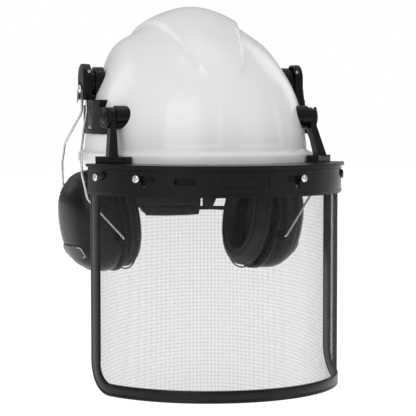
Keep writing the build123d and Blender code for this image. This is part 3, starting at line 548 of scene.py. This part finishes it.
def oval(a, b, count=96, power=2.25):
    """Outline between an ellipse (power 2) and a rounded box."""
    points = []
    for i in range(count):
        t = 2 * pi * i / count
        c, s = cos(t), sin(t)
        points.append((a * abs(c) ** (2 / power) * (1 if c > 0 else -1),
                       b * abs(s) ** (2 / power) * (1 if s > 0 else -1)))
    return points


# Depth outwards from the seam, half length, half height and upward shift of each section.
CUP_PROFILE = [(0.0, 42.0, 50.4, 0), (0.0, 44.4, 52.9, 0), (0.5, 45.0, 53.5, 0), (2.4, 45.0, 53.5, 0),
               (2.9, 44.5, 53.0, 0), (3.2, 43.0, 51.4, 0), (4.2, 42.7, 51.1, 0), (4.8, 43.0, 51.5, 0),
               (14, 43.0, 51.5, 0), (20, 42.2, 50.7, 0.3), (24, 41.0, 49.2, 0.3), (26.2, 40.0, 48.1, 0.3),
               (27.0, 39.3, 47.3, 0.3), (27.5, 38.0, 46.1, 0.3), (28.4, 37.9, 45.9, 0.3),
               (31.5, 36.3, 44.1, 0.2), (35, 33.4, 40.9, 0.1), (38.5, 28.7, 36.1, 0),
               (41.3, 23.2, 30.1, 0), (43.2, 15.8, 20.8, 0), (44.0, 8.0, 11.0, 0), (44.1, 1.0, 1.4, 0)]
BADGE_SIZE, BADGE_Z, BADGE_PROUD = (44, 13), -26, 2.0
LINING = [(42.2, 9, 13), (38, 22, 29), (32, 31, 39), (24, 37.5, 46), (12, 40.4, 48.9), (0.0, 40.6, 49.1)]


def cup_skin(side):
    """The cup's outer dome with its rim and groove, and the lining inside it."""
    place = cup_place(side)
    rows = [[place(x, y, z + drop) for y, z in oval(a, b)] for x, a, b, drop in CUP_PROFILE]
    rows = rows[::-1]
    rows += [[place(x, y, z) for y, z in oval(a, b)] for x, a, b in LINING[::-1]]
    return loft(f"cup_skin_{side}", rows, charcoal, f"ear_cup_{side}", "cup_charcoal",
                replaces=[f"cup_shell_{side}"], crease=50)


def dome_depth(y, z):
    """Depth of the dome's outer face over a point of the cup's section."""
    reach = [(sqrt((y / a) ** 2 + ((z - drop) / b) ** 2), x) for x, a, b, drop in CUP_PROFILE[8:]]
    for (r0, x0), (r1, x1) in zip(reach, reach[1:]):
        if r0 <= 1 <= r1:
            return x0 + (x1 - x0) * (1 - r0) / (r1 - r0)
    return reach[-1][1] if reach[-1][0] < 1 else reach[0][1]


def ring_section(radii_in, radii_out, near, far, count=72):
    """Closed padded ring between two ovals, with rounded shoulders."""
    rows = []
    for k in range(20):
        t = 2 * pi * k / 20
        c, s = cos(t), sin(t)
        mix = 0.5 + 0.5 * abs(c) ** 0.62 * (1 if c > 0 else -1)
        depth = (near + far) / 2 + (far - near) / 2 * abs(s) ** 0.62 * (1 if s > 0 else -1)
        a = radii_in[0] + (radii_out[0] - radii_in[0]) * mix
        b = radii_in[1] + (radii_out[1] - radii_in[1]) * mix
        rows.append([(depth, y, z) for y, z in oval(a, b, count, 2.1)])
    return rows


def baked(piece):
    """The piece's mesh with its modifiers applied."""
    return bpy.data.meshes.new_from_object(piece.evaluated_get(bpy.context.evaluated_depsgraph_get()))


def puff(piece, cap, voxel=0.005, pressure=4.0, frames=20):
    """Inflates a closed mesh, as a stuffed cover swells, no point by more than cap, and smooths it."""
    remesh = piece.modifiers.new("remesh", "REMESH")
    remesh.mode = "VOXEL"
    remesh.voxel_size = voxel
    bpy.context.view_layer.update()
    flat = baked(piece)
    piece.modifiers.clear()
    piece.data = flat
    start = [v.co.copy() for v in flat.vertices]
    cloth = piece.modifiers.new("cloth", "CLOTH")
    cloth.settings.use_pressure = True
    cloth.settings.uniform_pressure_force = pressure
    cloth.settings.effector_weights.gravity = 0
    for number in range(1, frames + 1):
        bpy.context.scene.frame_set(number)
    swollen = baked(piece)
    piece.modifiers.clear()
    for vertex, before in zip(swollen.vertices, start):
        move = vertex.co - before
        if move.length > cap:
            vertex.co = before + move.normalized() * cap
    piece.data = swollen
    bpy.context.scene.frame_set(1)
    smooth = piece.modifiers.new("smooth", "SUBSURF")
    smooth.levels = smooth.render_levels = 1
    done = baked(piece)
    piece.modifiers.clear()
    piece.data = done
    done.polygons.foreach_set("use_smooth", [True] * len(done.polygons))


rows = ring_section((21.6, 30.6), (43.6, 52.2), -3.4, -20.4)
cushion = loft("cup_cushion_soft_right", rows, vinyl, "ear_cup_right", "cushion_vinyl", along=True, crease=0)
puff(cushion, cap=0.0022)
twin = bpy.data.objects.new("cup_cushion_soft_left", cushion.data.copy())
bpy.context.scene.collection.objects.link(twin)
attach(twin, "ear_cup_left")
for side, cushion in (("right", cushion), ("left", twin)):
    origin, x_dir, y_dir, z_dir = cup_axes(side)
    turn = Matrix((x_dir, y_dir, z_dir)).transposed().to_4x4()
    cushion.data.transform(Matrix.Translation(origin * MM) @ turn)
    cushion.data.materials.clear()
    cushion.data.materials.append(vinyl)
    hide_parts(f"cup_cushion_{side}")
    place = cup_place(side)
    body = f"ear_cup_{side}"
    for name, depth, a, b, size in (("outer", -11.5, 45.3, 53.9, 0.75),
                                    ("front", -20.9, 33.0, 41.6, 0.55)):
        rows = [[place(depth + h, y * (a + w), z * (b + w)) for w, h in circle(size, 8)]
                for y, z in oval(1.0, 1.0, 120, 2.1)]
        loft(f"cushion_welt_{name}_{side}", rows, vinyl, body, "cushion_vinyl", along=True)
    cup_skin(side)
    edge = oval(37, 45.4, 96, 2.1)
    rows = [[place(depth, y * scale, z * scale) for y, z in edge]
            for scale, depth in ((1.0, 16), (1.0, 3), (0.985, 1.6), (0.95, 0.9))]
    for i in range(1, 20):
        scale = 0.95 - 0.94 * i / 20
        row = []
        for y, z in edge:
            bump = 0.9 * sin(y * scale * 0.62) * sin(z * scale * 0.62)
            row.append(place(0.9 - bump * min(1.0, i / 3), y * scale, z * scale))
        rows.append(row)
    absorber = loft(f"cup_foam_soft_{side}", rows, foam, body, "foam_dark", replaces=[f"cup_foam_{side}"])
    for name, inset, mat in (("outline", 1.3, badge_line), ("edge", 2.9, badge_grey)):
        outline = offset_outline(rounded_box(*BADGE_SIZE, 4), inset)
        ring = [place(dome_depth(y, z + BADGE_Z) + BADGE_PROUD, y, z + BADGE_Z) for y, z in outline]
        tube(f"badge_{name}_{side}", ring + ring[:2], 0.45, mat, body, "badge_grey", sides=8)


# ---- harness ----------------------------------------------------------------------------------
def pillow(name, place, width, height, thick, roundness, channels, node, mesh=(72, 36)):
    """Padded harness panel: two skins that meet at a rounded edge, with sewn channels along it."""
    nu, nv = mesh
    rows = []
    for j in range(-nv, nv + 1):
        row = []
        for i in range(nu + 1):
            a, b = 2 * i / nu - 1, 2 * abs(j) / nv - 1
            u = a * sqrt(1 - roundness * b * b / 2) * width / 2
            v = b * sqrt(1 - roundness * a * a / 2) * height / 2
            swell = (max(0.0, 1 - a ** 6) * max(0.0, 1 - b ** 6)) ** 0.5
            groove = min(abs(v - c) for c in channels)
            swell *= 1 - 0.55 * np.exp(-(groove / 1.3) ** 2)
            row.append(place(u, v, thick * (0.5 + 0.5 * swell * (1 if j > 0 else -1))))
        rows.append(row)
    verts, faces = [], []
    for skin in (rows[nv:], rows[:nv + 1]):
        faces += quads(skin, start=len(verts))
        verts += [p for row in skin for p in row]
    piece = mesh_piece(name, verts, faces, terry, "helmet", "sweatband_soft", replaces=[node], crease=0)


def arc_place(radii, centre_y, z, facing):
    """Bends a panel round an oval band at the back (facing 1) or front (-1), thickness towards the head."""
    a, b = radii

    def place(u, v, h):
        t = u / ((a + b) / 2)
        return ((a - h) * sin(t), centre_y + (b - h) * cos(t) * facing, z + v)
    return place


pillow("sweatband_soft", arc_place((78, 97), 0, 22, -1), 224, 22, 3.4, 0.05, (-8.3, 8.3), "sweatband",
       (160, 28))
pillow("nape_pad_soft", arc_place((81.2, 81.2), 20, -42, 1), 66, 34, 4.9, 0.3, (-6, 6), "nape_pad")
pillow("crown_pad_soft", lambda u, v, h: (u, v, 101 + h), 54, 54, 4.2, 1.0, (-9, 9), "crown_pad")


STRAP_FOOT_Z = 16


def strap(name, half_span, rise, along_x, node):
    """Webbing band arched over the head, with a firm edge on each side."""
    section = [(-10, 0.15), (-10, 1.05), (-9.2, 1.3), (-8.4, 1.1), (0, 1.2), (8.4, 1.1), (9.2, 1.3),
               (10, 1.05), (10, 0.15), (8.4, 0.1), (0, 0.0), (-8.4, 0.1)]
    rows = []
    for i in range(97):
        t = pi * i / 96
        row = []
        for across, h in section:
            u, z = (half_span + h) * cos(t), STRAP_FOOT_Z + (rise + h) * sin(t)
            row.append((u, across, z) if along_x else (across, u, z))
        rows.append(row)
    loft(name, rows, webbing, "helmet", "webbing", replaces=[node])


strap("crown_webbing_cross", 88, 95, True, "crown_strap_cross")
strap("crown_webbing_long", 106, 97, False, "crown_strap_long")


# ---- camera, light and floor ------------------------------------------------------------------
scene = bpy.context.scene
camera = bpy.data.objects.new("camera", bpy.data.cameras.new("camera"))
scene.collection.objects.link(camera)
scene.camera = camera
camera.data.lens = 147.1
camera.data.sensor_width = 36
camera.data.clip_end = 20
camera.location = (-0.440, -1.642, 0.058)
aim = Vector((0.0126, -0.0034, -0.045))
camera.rotation_euler = (aim - camera.location).to_track_quat("-Z", "Y").to_euler()


def soft_light(name, location, size, power):
    """Rectangular light aimed at the helmet's middle. Metres and watts."""
    light = bpy.data.lights.new(name, "AREA")
    light.shape = "RECTANGLE"
    light.size, light.size_y = size
    light.energy = power
    lamp = bpy.data.objects.new(name, light)
    scene.collection.objects.link(lamp)
    lamp.location = location
    lamp.rotation_euler = (-lamp.location).to_track_quat("-Z", "Y").to_euler()


soft_light("key", (-1.5, -1.7, 1.1), (1.6, 1.9), 18)
soft_light("fill", (1.7, -1.5, 0.8), (1.2, 1.5), 5)
soft_light("top", (0.1, 0.1, 2.2), (1.2, 1.2), 4)
soft_light("back_left", (-1.5, 1.4, 1.0), (0.8, 1.2), 3)
soft_light("back_right", (1.5, 1.3, 0.9), (0.8, 1.2), 3)

# Light from the room grows from the horizon to the ceiling. The backdrop itself is plain white.
world = bpy.data.worlds.new("studio")
scene.world = world
world.use_nodes = True
nodes, links = world.node_tree.nodes, world.node_tree.links
nodes["Background"].inputs["Color"].default_value = (1, 1, 1, 1)
room = nodes.new("ShaderNodeBackground")
where = nodes.new("ShaderNodeTexCoord")
split = nodes.new("ShaderNodeSeparateXYZ")
height = nodes.new("ShaderNodeMapRange")
height.inputs["From Min"].default_value = -0.1
height.inputs["From Max"].default_value = 0.9
height.inputs["To Min"].default_value = 0.29
height.inputs["To Max"].default_value = 0.78
seen = nodes.new("ShaderNodeLightPath")
mix = nodes.new("ShaderNodeMixShader")
links.new(where.outputs["Generated"], split.inputs["Vector"])
links.new(split.outputs["Z"], height.inputs["Value"])
links.new(height.outputs["Result"], room.inputs["Strength"])
links.new(seen.outputs["Is Camera Ray"], mix.inputs["Fac"])
links.new(room.outputs["Background"], mix.inputs[1])
links.new(nodes["Background"].outputs["Background"], mix.inputs[2])
links.new(mix.outputs["Shader"], nodes["World Output"].inputs["Surface"])
scene.view_settings.view_transform = "Standard"

FLOOR_Z = -0.24
floor_mesh = bpy.data.meshes.new("floor")
corners = [(-6, -6, FLOOR_Z), (6, -6, FLOOR_Z), (6, 6, FLOOR_Z), (-6, 6, FLOOR_Z)]
floor_mesh.from_pydata(corners, [], [(0, 1, 2, 3)])
floor = bpy.data.objects.new("floor", floor_mesh)
scene.collection.objects.link(floor)
pale = node_material("pale_floor", (0.30, 0.30, 0.30), (0.9, 0.95), 0.01, grain=(200, 0.02))
pale.node_tree.nodes["Principled BSDF"].inputs["Emission Color"].default_value = (1, 1, 1, 1)
pale.node_tree.nodes["Principled BSDF"].inputs["Emission Strength"].default_value = 0.9
floor_mesh.materials.append(pale)
